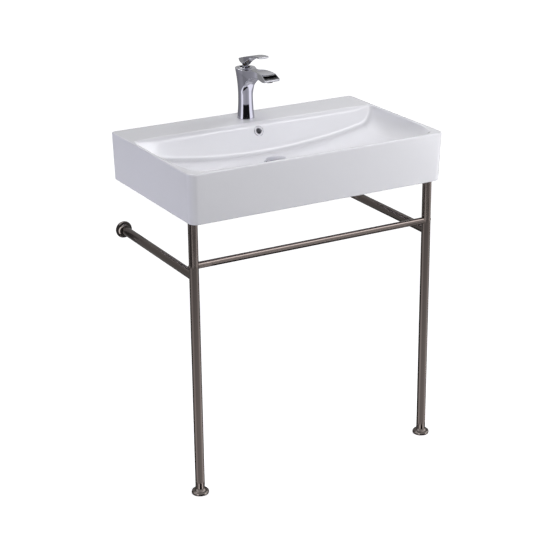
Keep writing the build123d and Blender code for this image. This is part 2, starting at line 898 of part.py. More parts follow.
with BuildPart() as flow_insert:
    add(
        mouth_block(
            hole_gap,
            (
                (mouth_back + hole_gap, mouth_floor_back + hole_gap),
                (mouth_back + hole_gap, mouth_top_back - hole_gap),
                (insert_front, mouth_top_front - 1),
                (insert_front, mouth_floor(insert_front) + insert_tongue),
                (mouth_front - 5, mouth_floor(mouth_front - 5) + insert_tongue),
                (mouth_front - 5, mouth_floor(mouth_front - 5) + hole_gap / 2),
            ),
        )
    )
    slots = side_block(
        insert_slot / 2,
        (
            (mouth_back, mouth_floor_back + 3),
            (mouth_back, mouth_top_back - 2),
            (insert_front + 1, mouth_top_front - 2),
            (insert_front + 1, mouth_floor(insert_front) + insert_tongue + 0.6),
        ),
    )
    with Locations(*((i * insert_slot_pitch, 0, 0) for i in (-2, -1, 0, 1, 2))):
        add(slots, mode=Mode.SUBTRACT)
    disc(clip_plane, clip_pin_r + plug_gap, -clip_length, mode=Mode.SUBTRACT)
save(flow_insert, "flow_insert")

with BuildPart() as insert_clip:
    disc(clip_plane.offset(-clip_recess), clip_r, clip_recess + clip_head)
    fillet(insert_clip.edges().sort_by(Axis.Z)[0], 0.8)
    disc(clip_plane.offset(-clip_recess), clip_pin_r, clip_recess - clip_length)
save(insert_clip, "insert_clip")

with BuildPart() as base_gasket:
    disc(tap_plane, base_gasket_out - plug_gap, base_gasket_thick, base_gasket_in + plug_gap)
save(base_gasket, "base_gasket")

gasket_top = -deck_thickness
plate_top = gasket_top - clamp_gasket_thick
clamp_nut_top = plate_top - clamp_plate_thick


def clamp(top, thick):
    """A round plate under the deck, open at its back for the supply hoses."""
    with BuildPart() as plate:
        with BuildSketch(at_tap(top)):
            Circle(clamp_r)
            with Locations((0, clamp_slot_y)):
                Circle(clamp_slot_r, mode=Mode.SUBTRACT)
            with Locations((0, clamp_slot_y + clamp_r / 2)):
                Rectangle(2 * clamp_slot_r, clamp_r, mode=Mode.SUBTRACT)
            with Locations((0, -stud_y)):
                Circle(stud_r + hole_gap, mode=Mode.SUBTRACT)
        extrude(amount=-thick)
    return plate


clamp_gasket = clamp(gasket_top, clamp_gasket_thick)
save(clamp_gasket, "clamp_gasket")
clamp_plate = clamp(plate_top, clamp_plate_thick)
save(clamp_plate, "clamp_plate")

with BuildPart() as stud:
    with BuildSketch(at_tap(stud_depth - thread_gap)):
        with Locations((0, -stud_y)):
            Circle(stud_r)
    extrude(amount=-stud_length)
save(stud, "mounting_stud")

with BuildPart() as clamp_nut:
    with BuildSketch(at_tap(clamp_nut_top)):
        with Locations((0, -stud_y)):
            RegularPolygon(clamp_nut_r, 6)
            Circle(stud_r + thread_gap, mode=Mode.SUBTRACT)
    extrude(amount=-clamp_nut_thick)
save(clamp_nut, "mounting_nut")


# Mixer cartridge

with BuildPart() as port_seals:
    with BuildSketch(at_tap(seat_height)):
        with Locations(*port_places):
            Circle(port_seal_r)
            Circle(inlet_bore_r + hole_gap, mode=Mode.SUBTRACT)
    extrude(amount=port_seal_thick)
save(port_seals, "port_seals")

with BuildPart() as housing:
    disc(at_tap(seat_height), housing_r, housing_height)
    disc(at_tap(disc_z), housing_bore, housing_height, mode=Mode.SUBTRACT)
    bore(at_tap(disc_z), port_places, inlet_bore_r, housing_floor)
    bore(at_tap(seat_height + port_seal_thick), port_places, port_seal_r + plug_gap, port_seal_thick)
    add(
        side_block(
            channel_width / 2,
            (
                (housing_bore - 1, slide_z - 0.5),
                (housing_bore - 1, turret_z),
                (housing_r + 1, turret_z),
                (housing_r + 1, slide_z - 0.5),
            ),
        ),
        mode=Mode.SUBTRACT,
    )
save(housing, "cartridge_housing")

with BuildPart() as lower_disc:
    disc(at_tap(disc_z), lower_disc_r, lower_disc_thick)
    bore(at_tap(slide_z), port_places, inlet_bore_r, lower_disc_thick)
save(lower_disc, "lower_disc")

with BuildPart() as upper_disc:
    disc(at_tap(slide_z + disc_play), upper_disc_r, upper_disc_thick - disc_play)
    bore(at_tap(upper_disc_top), ((0, 0),), nose_r + nose_play, pocket_depth)
save(upper_disc, "upper_disc")

pivot_start = (-pivot_pin_length / 2, tap_y, rim_height + pivot_height)
pivot_plane = Plane(pivot_start, x_dir=(0, 1, 0), z_dir=(1, 0, 0))

with BuildPart() as turret:
    disc(at_tap(turret_z), housing_bore - turret_play, turret_height)
    disc(at_tap(turret_top), collar_r, collar_height)
    with BuildSketch(at_tap(turret_z)):
        Rectangle(stem_side + 2 * stem_play, 2 * turret_slot_y)
    extrude(amount=turret_height + collar_height, mode=Mode.SUBTRACT)
    disc(pivot_plane.offset(-housing_r), pivot_pin_r + pin_seat, 4 * housing_r, mode=Mode.SUBTRACT)
save(turret, "turret")

with BuildPart() as pivot_pin:
    disc(pivot_plane, pivot_pin_r, pivot_pin_length)
save(pivot_pin, "pivot_pin")

with BuildPart() as stem:
    with BuildSketch(at_tap(stem_bottom)):
        Rectangle(stem_side, stem_side)
    extrude(amount=stem_top - stem_bottom)
    disc(at_tap(stem_bottom), nose_r, nose_bottom - stem_bottom)
    disc(pivot_plane, pivot_pin_r + pivot_play, pivot_pin_length, mode=Mode.SUBTRACT)
save(stem, "cartridge_stem")

with BuildPart() as cartridge_nut:
    disc(at_tap(housing_top), cartridge_nut_r, cartridge_nut_thick, cartridge_nut_bore)
    with BuildSketch(at_tap(cap_z_low)):
        with PolarLocations(cartridge_nut_r, 6):
            Rectangle(nut_notch, 2 * nut_notch)
    extrude(amount=-cartridge_nut_thick / 2, mode=Mode.SUBTRACT)
save(cartridge_nut, "cartridge_nut")

with BuildPart() as cap_ring:
    turn(
        at_tap(cap_z_low),
        (
            (cap_ring_bore, 0),
            (cartridge_nut_r, 0),
            (cartridge_nut_r, cap_ring_thick - edge_break),
            (cartridge_nut_r - edge_break, cap_ring_thick),
            (cap_ring_bore + edge_break, cap_ring_thick + cap_ring_dome),
            (cap_ring_bore, cap_ring_thick),
        ),
    )
save(cap_ring, "cartridge_cap")


# Mixer lever

lever_top = (
    (-lever_tail, neck_top + 15),
    (0, neck_top + 20.5),
    (20, neck_top + 26),
    (55, paddle_top - 6),
    (85, paddle_top - 1),
    (lever_reach - 4, paddle_top),
)
lever_under = (
    (lever_reach, paddle_top - paddle_thick),
    (92, paddle_top - paddle_thick - 0.5),
    (66, paddle_top - paddle_thick - 4),
    (48, paddle_top - paddle_thick - 11),
    (32, neck_top + 16.5),
    (22.5, neck_top + 12),
    (18.5, neck_top + 8),
    (17, neck_top + 4),
    (14, neck_top + 0.5),
    (neck_front, neck_top - 2.5),
)
lever_back = (
    (neck_front, neck_bottom),
    (-neck_back, neck_bottom),
    (-neck_back, neck_top),
    (-neck_back - 5, neck_top + 5),
)
flare_line = (
    (neck_half_width, neck_top),
    ((neck_half_width + paddle_middle_half) / 2, neck_top + paddle_flare / 5),
    (paddle_middle_half, neck_top + paddle_flare / 2),
    (paddle_tip_half, neck_top + paddle_flare),
)
paddle_line = (
    (paddle_tip_half, lever_tip_round - lever_reach),
    (paddle_middle_half, -paddle_middle),
    (paddle_back_half, lever_tail),
)
lever_screw_start = (0, tap_y, rim_height + lever_screw_height)
lever_screw_plane = Plane(lever_screw_start, x_dir=(1, 0, 0), z_dir=(0, -1, 0))


def mirrored(points):
    """The points on the other side of the mixer's middle, in the reverse order."""
    return [(-x, y) for x, y in reversed(points)]


with BuildPart() as lever:
    with BuildSketch(side_plane):
        with BuildLine():
            Spline(*lever_top)
            Line(lever_top[-1], lever_under[0])
            Spline(*lever_under)
            Polyline(lever_under[-1], *lever_back, lever_top[0])
        make_face()
    extrude(amount=paddle_tip_half, both=True)
    with BuildSketch(front_plane):
        with BuildLine():
            Spline(*flare_line)
            Polyline(
                flare_line[-1],
                (paddle_tip_half, 2 * column_height),
                (-paddle_tip_half, 2 * column_height),
                mirrored(flare_line)[0],
            )
            Spline(*mirrored(flare_line))
            Polyline(
                mirrored(flare_line)[-1],
                (-neck_half_width, 0),
                (neck_half_width, 0),
                flare_line[0],
            )
        make_face()
    extrude(amount=2 * spout_reach, both=True, mode=Mode.INTERSECT)
    with BuildSketch(tap_plane):
        with BuildLine():
            Spline(*paddle_line)
            Line(paddle_line[-1], mirrored(paddle_line)[0])
            Spline(*mirrored(paddle_line))
            ThreePointArc(mirrored(paddle_line)[-1], (0, -lever_reach), paddle_line[0])
        make_face()
    extrude(amount=3 * column_height, mode=Mode.INTERSECT)
    with BuildSketch(at_tap(stem_top + hole_gap)):
        Rectangle(stem_side + stem_play, stem_side + stem_play)
    extrude(amount=-column_height, mode=Mode.SUBTRACT)
    disc(lever_screw_plane, lever_screw_r + thread_gap, 2 * column_top_r, mode=Mode.SUBTRACT)
    plug_start = stem_side / 2 + lever_screw_length + plug_gap
    disc(lever_screw_plane.offset(plug_start), index_plug_r + plug_gap, 2 * column_top_r, mode=Mode.SUBTRACT)
save(lever, "lever")

with BuildPart() as lever_screw:
    disc(lever_screw_plane.offset(stem_side / 2), lever_screw_r, lever_screw_length)
    with BuildSketch(lever_screw_plane.offset(stem_side / 2 + lever_screw_length)):
        RegularPolygon(bar_screw_key / sqrt(3), 6)
    extrude(amount=-bar_screw_socket, mode=Mode.SUBTRACT)
save(lever_screw, "lever_screw")

with BuildPart() as index_plug:
    disc(lever_screw_plane.offset(plug_start), index_plug_r, index_plug_length)
    fillet(index_plug.edges().sort_by(Axis.Y)[0], 0.6)
save(index_plug, "index_plug")
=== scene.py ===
import json
from math import cos, hypot, radians, sin, tan

import bpy
import numpy as np
from mathutils import Matrix, Vector


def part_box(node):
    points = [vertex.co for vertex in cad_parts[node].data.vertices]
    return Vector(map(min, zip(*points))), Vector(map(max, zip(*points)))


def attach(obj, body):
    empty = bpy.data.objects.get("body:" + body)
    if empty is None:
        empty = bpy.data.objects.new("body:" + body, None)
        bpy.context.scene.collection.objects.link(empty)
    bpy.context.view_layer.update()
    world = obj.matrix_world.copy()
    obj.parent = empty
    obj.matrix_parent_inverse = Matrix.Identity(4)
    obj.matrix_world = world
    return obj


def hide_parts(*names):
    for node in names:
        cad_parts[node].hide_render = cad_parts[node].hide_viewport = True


# A console washbasin in its studio. Metres, +Z up, the wall at +Y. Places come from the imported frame,
# and the sizes of the basin, the mixer and the lever are given with each, in millimetres.
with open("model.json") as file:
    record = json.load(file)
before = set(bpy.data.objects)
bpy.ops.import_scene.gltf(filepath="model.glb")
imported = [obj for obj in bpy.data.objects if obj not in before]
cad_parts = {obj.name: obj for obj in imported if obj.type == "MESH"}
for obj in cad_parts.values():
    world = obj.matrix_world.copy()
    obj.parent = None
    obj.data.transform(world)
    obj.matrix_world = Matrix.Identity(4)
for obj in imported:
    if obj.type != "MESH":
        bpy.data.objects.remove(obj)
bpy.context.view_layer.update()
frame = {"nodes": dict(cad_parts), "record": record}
nodes = frame["nodes"]
MM = 0.001

# Camera, fitted to the straight edges of the basin and the stand
AZIMUTH = -29.55
ELEVATION = 20.81
ROLL = -0.49
DISTANCE = 4.3856
AIM = Vector((0.0, 0.0, 0.47625))
AIM_RIGHT = 0.004467
AIM_UP = -0.000933
SENSOR = 36.0
FOCAL_PIXELS = 1580.89
IMAGE_PIXELS = 560


def make_camera():
    a, e, r = radians(AZIMUTH), radians(ELEVATION), radians(ROLL)
    back = Vector((sin(a) * cos(e), -cos(a) * cos(e), sin(e)))
    level = Vector((cos(a), sin(a), 0))
    right = level * cos(r) + back.cross(level) * sin(r)
    up = back.cross(right)
    place = AIM + right * AIM_RIGHT + up * AIM_UP + back * DISTANCE
    data = bpy.data.cameras.new("camera")
    data.sensor_width = SENSOR
    data.lens = FOCAL_PIXELS / IMAGE_PIXELS * SENSOR
    data.clip_start = 0.1
    data.clip_end = 100
    camera = bpy.data.objects.new("camera", data)
    camera.matrix_world = Matrix.Translation(place) @ Matrix((right, up, back)).transposed().to_4x4()
    bpy.context.scene.collection.objects.link(camera)
    bpy.context.scene.camera = camera


# Materials


def new_material(name):
    """A material with its shader, and the functions that add and join nodes in it."""
    material = bpy.data.materials.new(name)
    material.use_nodes = True
    tree = material.node_tree
    shader = tree.nodes["Principled BSDF"]

    def node(kind, **values):
        made = tree.nodes.new(kind)
        for key, value in values.items():
            if key in made.inputs:
                made.inputs[key].default_value = value
            else:
                setattr(made, key, value)
        return made

    return material, shader, node, tree.links.new


def colour(red, green, blue):
    """A colour given as it shows on the screen, from 0 to 255, as linear light."""
    parts = [c / 255 for c in (red, green, blue)]
    return (*[c / 12.92 if c <= 0.04045 else ((c + 0.055) / 1.055) ** 2.4 for c in parts], 1.0)


def ramp(node, link, source, low, high, from_low=0.3, from_high=0.7):
    """A number that runs from low to high as source does."""
    made = node("ShaderNodeMapRange")
    made.inputs["From Min"].default_value = from_low
    made.inputs["From Max"].default_value = from_high
    made.inputs["To Min"].default_value = low
    made.inputs["To Max"].default_value = high
    link(source, made.inputs["Value"])
    return made.outputs["Result"]


def noise(node, link, scale, detail=3.0, stretch=(1, 1, 1)):
    """Noise through the object's own space, drawn out along an axis where stretch is small."""
    place = node("ShaderNodeTexCoord")
    sized = node("ShaderNodeMapping")
    sized.inputs["Scale"].default_value = stretch
    link(place.outputs["Object"], sized.inputs["Vector"])
    made = node("ShaderNodeTexNoise")
    made.inputs["Scale"].default_value = scale
    made.inputs["Detail"].default_value = detail
    link(sized.outputs["Vector"], made.inputs["Vector"])
    return made.outputs["Fac"]


def bump(node, link, shader, height, distance, strength=1.0):
    made = node("ShaderNodeBump")
    made.inputs["Distance"].default_value = distance
    made.inputs["Strength"].default_value = strength
    link(height, made.inputs["Height"])
    link(made.outputs["Normal"], shader.inputs["Normal"])


def mix_colours(node, link, factor, first, second):
    made = node("ShaderNodeMix", data_type="RGBA")
    made.inputs["A"].default_value = first
    made.inputs["B"].default_value = second
    link(factor, made.inputs["Factor"])
    return made.outputs["Result"]


def glaze_material():
    """White glaze: clear gloss over a body whose tone drifts a little, with a faint orange peel."""
    material, shader, node, link = new_material("white_glaze")
    drift = noise(node, link, 3.0)
    tone = mix_colours(node, link, drift, colour(232, 232, 238), colour(237, 237, 241))
    link(tone, shader.inputs["Base Color"])
    link(ramp(node, link, noise(node, link, 14.0), 0.10, 0.16), shader.inputs["Roughness"])
    shader.inputs["IOR"].default_value = 1.52
    shader.inputs["Coat Weight"].default_value = 0.5
    shader.inputs["Coat Roughness"].default_value = 0.03
    bump(node, link, shader, noise(node, link, 90.0, 1.0), 0.00003)
    return material


def chrome_material():
    """Polished chrome plate, with faint smudges that dull it here and there."""
    material, shader, node, link = new_material("chrome_plate")
    shader.inputs["Metallic"].default_value = 1.0
    tone = mix_colours(node, link, noise(node, link, 30.0), colour(196, 196, 203), colour(202, 202, 208))
    link(tone, shader.inputs["Base Color"])
    link(ramp(node, link, noise(node, link, 55.0, 5.0), 0.06, 0.12), shader.inputs["Roughness"])
    return material


def dark_steel_material():
    """Dark satin nickel on tube: brushed streaks along the tube, a warm grey that varies softly."""
    material, shader, node, link = new_material("dark_satin_nickel")
    shader.inputs["Metallic"].default_value = 1.0
    drift = noise(node, link, 9.0, 4.0)
    tone = mix_colours(node, link, drift, colour(112, 103, 100), colour(118, 109, 105))
    link(tone, shader.inputs["Base Color"])
    grain = noise(node, link, 260.0, 3.0, (1, 1, 0.06))
    link(ramp(node, link, grain, 0.13, 0.19), shader.inputs["Roughness"])
    return material


def polished_steel_material():
    """The flange covers: the same dark metal, polished bright, with a few dull smudges."""
    material, shader, node, link = new_material("polished_dark_nickel")
    shader.inputs["Metallic"].default_value = 1.0
    drift = noise(node, link, 40.0, 4.0)
    tone = mix_colours(node, link, drift, colour(128, 120, 117), colour(138, 130, 126))
    link(tone, shader.inputs["Base Color"])
    link(ramp(node, link, noise(node, link, 120.0), 0.04, 0.08), shader.inputs["Roughness"])
    return material


def turned_metal_material(name, tint, rough):
    """A plain metal with the fine rings and specks of turned or stamped stock."""
    material, shader, node, link = new_material(name)
    shader.inputs["Metallic"].default_value = 1.0
    grain = noise(node, link, 400.0, 4.0, (1, 1, 4))
    dark = tuple(0.8 * c for c in tint[:3]) + (1.0,)
    link(mix_colours(node, link, grain, dark, tint), shader.inputs["Base Color"])
    link(ramp(node, link, grain, 0.7 * rough, 1.3 * rough), shader.inputs["Roughness"])
    bump(node, link, shader, grain, 0.00002)
    return material


def moulded_material(name, tint, rough):
    """Moulded plastic or rubber with a fine even texture and slight mottling."""
    material, shader, node, link = new_material(name)
    mottle = noise(node, link, 60.0, 5.0)
    dark = tuple(0.82 * c for c in tint[:3]) + (1.0,)
    link(mix_colours(node, link, mottle, dark, tint), shader.inputs["Base Color"])
    link(ramp(node, link, mottle, 0.85 * rough, 1.15 * rough), shader.inputs["Roughness"])
    bump(node, link, shader, noise(node, link, 900.0, 2.0), 0.00004)
    return material


MATERIALS = {
    "glaze": glaze_material(),
    "chrome": chrome_material(),
    "dark_steel": dark_steel_material(),
    "bright_steel": turned_metal_material("plain_steel", colour(196, 196, 198), 0.26),
    "brass": turned_metal_material("turned_brass", colour(158, 134, 92), 0.28),
    "rubber": moulded_material("black_rubber", colour(38, 38, 39), 0.62),
    "black_plastic": moulded_material("black_plastic", colour(24, 24, 26), 0.42),
    "white_plastic": moulded_material("white_plastic", colour(222, 222, 219), 0.45),
    "grey_plastic": moulded_material("grey_plastic", colour(112, 114, 120), 0.25),
    "disc_ceramic": moulded_material("ground_ceramic", colour(240, 238, 232), 0.3),
}


def dress_nodes():
    """Gives each CAD node the material of its slot, and the flange covers a polished one."""
    polished = polished_steel_material()
    for row in frame["record"]["subparts"]:
        mesh = nodes[row["node"]].data
        mesh.materials.clear()
        is_cover = row["node"].endswith("_cover")
        mesh.materials.append(polished if is_cover else MATERIALS[row["material_slot"]])
        for polygon in mesh.polygons:
            polygon.material_index = 0


# Surfaces as fields: a field is negative inside its solid, in millimetres


def both(a, b, round_r):
    """Where both solids are, its edge rounded to that radius."""
    inner = np.minimum(-round_r, np.maximum(a, b))
    return inner + np.hypot(np.maximum(a + round_r, 0), np.maximum(b + round_r, 0))


def either(a, b, round_r):
    """Where one or the other solid is, its inner corner filled to that radius."""
    return -both(-a, -b, round_r)


def without(a, b, round_r):
    """The first solid with the second cut out of it."""
    return both(a, -b, round_r)


def ease(t):
    """A step from 0 to 1 with soft ends."""
    t = np.clip(t, 0, 1)
    return t * t * (3 - 2 * t)


def curve(points):
    """A smooth line through points, as a function that goes on straight past its ends."""
    x, y = (np.array(v, float) for v in zip(*points))
    gap = np.diff(x)
    rise = np.diff(y) / gap
    count = len(x)
    table = np.eye(count)
    side = np.zeros(count)
    for i in range(1, count - 1):
        table[i, i - 1:i + 2] = gap[i - 1], 2 * (gap[i - 1] + gap[i]), gap[i]
        side[i] = 6 * (rise[i] - rise[i - 1])
    bend = np.linalg.solve(table, side)

    def value(at):
        i = np.clip(np.searchsorted(x, at) - 1, 0, count - 2)
        near = np.clip(at, x[0], x[-1])
        a, b = (x[i + 1] - near), (near - x[i])
        inner = (bend[i] * a**3 + bend[i + 1] * b**3) / (6 * gap[i])
        inner = inner + (y[i] / gap[i] - bend[i] * gap[i] / 6) * a
        inner = inner + (y[i + 1] / gap[i] - bend[i + 1] * gap[i] / 6) * b
        turn = np.where(i == 0, -(2 * bend[i] + bend[i + 1]), bend[i] + 2 * bend[i + 1])
        slope = rise[i] + gap[i] * turn / 6
        return inner + (at - near) * slope

    return value


def steps(*stops):
    """Grid lines from (place, step) stops: each step holds until the next stop's place."""
    lines = []
    for (start, step), (end, _) in zip(stops, stops[1:]):
        lines.append(np.linspace(start, end, max(2, int(np.ceil((end - start) / step)) + 1))[:-1])
    return np.concatenate([*lines, [stops[-1][0]]])


def slopes(field, at):
    """How fast the field grows along each axis at points."""
    nudge = 0.02
    return np.stack(
        [(field(*(at + nudge * d).T) - field(*(at - nudge * d).T)) / (2 * nudge) for d in np.eye(3)], axis=1
    )


def settle(field, at, rounds=4):
    """Moves points onto the field's surface, and gives the surface's normals there."""
    for _ in range(rounds):
        grow = slopes(field, at)
        size = np.maximum((grow**2).sum(1), 0.05)
        move = grow * (field(*at.T) / size)[:, None]
        long = np.maximum(np.linalg.norm(move, axis=1), 1e-9)
        at = at - move * np.minimum(1, 1.5 / long)[:, None]
    grow = slopes(field, at)
    return at, grow / np.maximum(np.linalg.norm(grow, axis=1), 1e-9)[:, None]


def cover_field(field, lines):
    """Points and four-sided faces over the field's surface: one point in each grid cell it crosses."""
    value = field(*np.meshgrid(*lines, indexing="ij", sparse=True))
    inside = value < 0
    corner = [(i, j, k) for i in (0, 1) for j in (0, 1) for k in (0, 1)]
    shape = tuple(n - 1 for n in inside.shape)

    def shifted(array, offset):
        return array[tuple(slice(o, o + n) for o, n in zip(offset, shape))]

    count = sum(shifted(inside, c).astype(np.int8) for c in corner)
    crossed = np.argwhere((count > 0) & (count < 8))
    number = np.full(shape, -1)
    number[tuple(crossed.T)] = np.arange(len(crossed))
    total = np.zeros((len(crossed), 3))
    hits = np.zeros(len(crossed))
    for c in corner:
        for axis in range(3):
            if c[axis]:
                continue
            one = crossed + c
            two = one + np.eye(3, dtype=int)[axis]
            a, b = value[tuple(one.T)], value[tuple(two.T)]
            cut = (a < 0) != (b < 0)
            share = np.where(cut, a / np.where(cut, a - b, 1), 0)
            low = np.stack([lines[m][one[:, m]] for m in range(3)], axis=1)
            high = np.stack([lines[m][two[:, m]] for m in range(3)], axis=1)
            total += np.where(cut[:, None], low + share[:, None] * (high - low), 0)
            hits += cut
    points = total / hits[:, None]
    faces = []
    for axis in range(3):
        u, v = (axis + 1) % 3, (axis + 2) % 3
        ahead = [slice(None)] * 3
        ahead[axis] = slice(1, None)
        behind = [slice(None)] * 3
        behind[axis] = slice(None, -1)
        edge = np.argwhere(inside[tuple(ahead)] != inside[tuple(behind)])
        edge = edge[(edge[:, u] > 0) & (edge[:, v] > 0) & (edge[:, u] < shape[u]) & (edge[:, v] < shape[v])]
        back_u, back_v = np.eye(3, dtype=int)[u], np.eye(3, dtype=int)[v]
        ring = [number[tuple((edge - shift).T)] for shift in (back_u + back_v, back_v, 0 * back_u, back_u)]
        ring = np.stack(ring, axis=1)
        flip = ~inside[tuple(edge.T)]
        ring[flip] = ring[flip][:, ::-1]
        faces.append(ring)
    return points, np.concatenate(faces)


def add_piece(name, points, faces, body, slot, normals=None, stands_for=()):
    """A mesh piece from points in metres that rides on a body and stands for CAD nodes."""
    mesh = bpy.data.meshes.new(name)
    mesh.from_pydata([tuple(p) for p in points], [], [tuple(f) for f in faces])
    mesh.validate()
    mesh.shade_smooth()
    if normals is not None:
        mesh.normals_split_custom_set_from_vertices([tuple(n) for n in normals])
    mesh.materials.append(MATERIALS[slot])
    piece = bpy.data.objects.new(name, mesh)
    bpy.context.scene.collection.objects.link(piece)
    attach(piece, body)
    if stands_for:
        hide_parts(*stands_for)
    return piece


def field_piece(name, field, lines, body, slot, stands_for):
    points, faces = cover_field(field, lines)
    points, normals = settle(field, points)
    return add_piece(name, points * MM, faces.tolist(), body, slot, normals, stands_for)


# Basin

basin_low, basin_high = (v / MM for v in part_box("basin"))
half_width = round(basin_high.x * 2) / 2
front_y, wall_y = round(basin_low.y * 2) / 2, basin_high.y
bottom_z, rim_z = basin_low.z, basin_high.z
DRAFT = 4.0
RIM_WALL = 10.0
SKIRT_WALL = 11.0
BOWL_WALL = 9.0
DECK = 14.0
DECK_WIDTH = 125.5
BOWL_DEPTH = 83.0
BACK_LEAN = radians(24)
SIDE_ROUND = 48.0
BOW_X = 2000.0
BOW_Y = 600.0
DUCT = (16.0, 12.0, 8.0)
BOSS_R = 38
WASTE_SEAT_R = 33
WASTE_SEAT = 3
WASTE_HOLE_R = 23
TAP_HOLE_R = 17.5
TAP_HOLE_REACH = 60
TAP_FROM_WALL = 62.5
BOLT_X = 140
BOLT_DROP = 50
BOLT_R = 7
BOLT_REACH = 40
SOCKET_R = 13.9
SOCKET_DEPTH = 14
OVERFLOW_DROP = 22
OVERFLOW_R = 9
OVERFLOW_REACH = 15
LEG_INSET = 25
LEG_SETBACK = 42.5
drain_y = 5.0
drain_z = rim_z - BOWL_DEPTH
deck_edge = wall_y - DECK_WIDTH
tap_y = wall_y - TAP_FROM_WALL
overflow_z = rim_z - OVERFLOW_DROP
leg_x, leg_y = half_width - LEG_INSET, front_y + LEG_SETBACK


def bowl(x, y, z):
    """The bowl's hollow: a bowed floor with wide round sides, a leaning back, an upright front."""
    drop = drain_z + BOW_Y - np.hypot(y - drain_y, drain_z + BOW_Y - z)
    floor = drain_z + x**2 / (2 * BOW_X) - drop
    hollow = both(floor, np.abs(x) - half_width + RIM_WALL, SIDE_ROUND)
    back = (y - deck_edge + (rim_z - z) * tan(BACK_LEAN)) * cos(BACK_LEAN)
    return both(both(hollow, back, 9.0), front_y + RIM_WALL - y, 26.0)


def basin_field(x, y, z):
    lean = DRAFT * (rim_z - z) / (rim_z - bottom_z)
    sides = both(np.abs(x) - half_width + lean, front_y + lean - y, 22.0)
    block = both(both(sides, y - wall_y, 12.0), z - rim_z, 4.0)
    block = both(block, bottom_z - z, 3.0)
    hollow = bowl(x, y, z)
    from_side = ease((half_width - RIM_WALL - np.abs(x)) / 70)
    lip_round = 4.0 + 7.0 * from_side * ease((y - 40) / 40)
    solid = without(block, hollow, lip_round)

    far_side = half_width - DRAFT - SKIRT_WALL
    under = both(np.abs(x) - far_side, front_y + DRAFT + SKIRT_WALL - y, 11.0)
    under = both(both(under, y - wall_y + SKIRT_WALL, 11.0), z - rim_z + DECK, 5.0)
    under = without(under, hollow - BOWL_WALL, 8.0)
    duct_half, duct_high, duct_wall = DUCT
    duct = both(hollow - BOWL_WALL - duct_high - duct_wall, np.abs(x) - duct_half - duct_wall, 5.0)
    under = without(under, np.maximum(duct, drain_y - y), 4.0)
    around = np.hypot(x, y - drain_y)
    boss_z = drain_z - BOWL_WALL - duct_high - duct_wall
    under = without(under, np.maximum(around - BOSS_R, boss_z - z), 4.0)
    corner = np.maximum(leg_x - 26.9 - np.abs(x), y - leg_y - 26.9)
    under = without(under, np.maximum(corner, np.abs(z - bottom_z - 21) - 18), 3.0)
    solid = without(solid, under, 3.0)

    way = np.maximum(hollow - BOWL_WALL - duct_high, BOWL_WALL - hollow)
    way = np.maximum(np.maximum(way, np.abs(x) - duct_half), np.maximum(drain_y - y, z - rim_z + DECK))
    solid = without(solid, way, 0.5)
    socket = np.hypot(np.abs(x) - leg_x, y - leg_y) - SOCKET_R
    solid = without(solid, np.maximum(socket, z - bottom_z - SOCKET_DEPTH), 1.0)
    solid = without(solid, np.maximum(around - WASTE_SEAT_R, drain_z - WASTE_SEAT - z), 1.0)
    solid = without(solid, around - WASTE_HOLE_R, 0.8)
    tap_hole = np.maximum(np.hypot(x, y - tap_y) - TAP_HOLE_R, rim_z - TAP_HOLE_REACH - z)
    solid = without(solid, tap_hole, 1.0)
    bolt = np.hypot(np.abs(x) - BOLT_X, z - rim_z + BOLT_DROP) - BOLT_R
    solid = without(solid, np.maximum(bolt, wall_y - BOLT_REACH - y), 1.0)
    seat_y = deck_edge - (rim_z - overflow_z) * tan(BACK_LEAN)
    along = (y - seat_y) * cos(BACK_LEAN) - (z - overflow_z) * sin(BACK_LEAN)
    across = (y - seat_y) * sin(BACK_LEAN) + (z - overflow_z) * cos(BACK_LEAN)
    hole = np.maximum(np.hypot(x, across) - OVERFLOW_R, np.abs(along) - OVERFLOW_REACH)
    return without(solid, hole, 0.8)


def make_basin():
    side = [(-half_width - 2, 2.5), (-half_width + 34, 7), (-149, 3), (-131, 7), (-48, 3)]
    x_stops = side + [(48, 7), (131, 3), (149, 7), (half_width - 34, 2.5), (half_width + 2, 1)]
    y_stops = [(front_y - 2, 2.5), (front_y + 36, 7), (-46, 3), (50, 6), (deck_edge - 18, 2.5)]
    y_stops += [(deck_edge + 12, 5), (tap_y - 20, 2.5), (tap_y + 20, 4), (wall_y - 14, 2.5), (wall_y + 2, 1)]
    z_stops = [(bottom_z - 2, 2), (bottom_z + 8, 4), (drain_z - 12, 2.5), (drain_z + 10, 4)]
    z_stops += [(rim_z - 40, 2.5), (rim_z - 14, 1.6), (rim_z + 2, 1)]
    lines = [steps(*stops) for stops in (x_stops, y_stops, z_stops)]
    field_piece("glazed_basin", basin_field, lines, "basin_and_stand", "glaze", ["basin"])


# Mixer body, in millimetres forward of the tap hole and up from the rim

COLUMN_FOOT = 24.3
COLUMN_WAIST = 20.5
WAIST_HEIGHT = 62.0
COLUMN_TOP = 28.6
COLUMN_HEIGHT = 144.0
SPOUT_REACH = 156.0
LIP_HALF = 23.5
SPOUT_HALF = 20.5
MOUTH_HALF = 17.5
MOUTH_LIP_HALF = 21.0
MOUTH_BACK = 60.0
CLIP = (136.0, -15.1)
RING_LOW = COLUMN_HEIGHT - 14.0

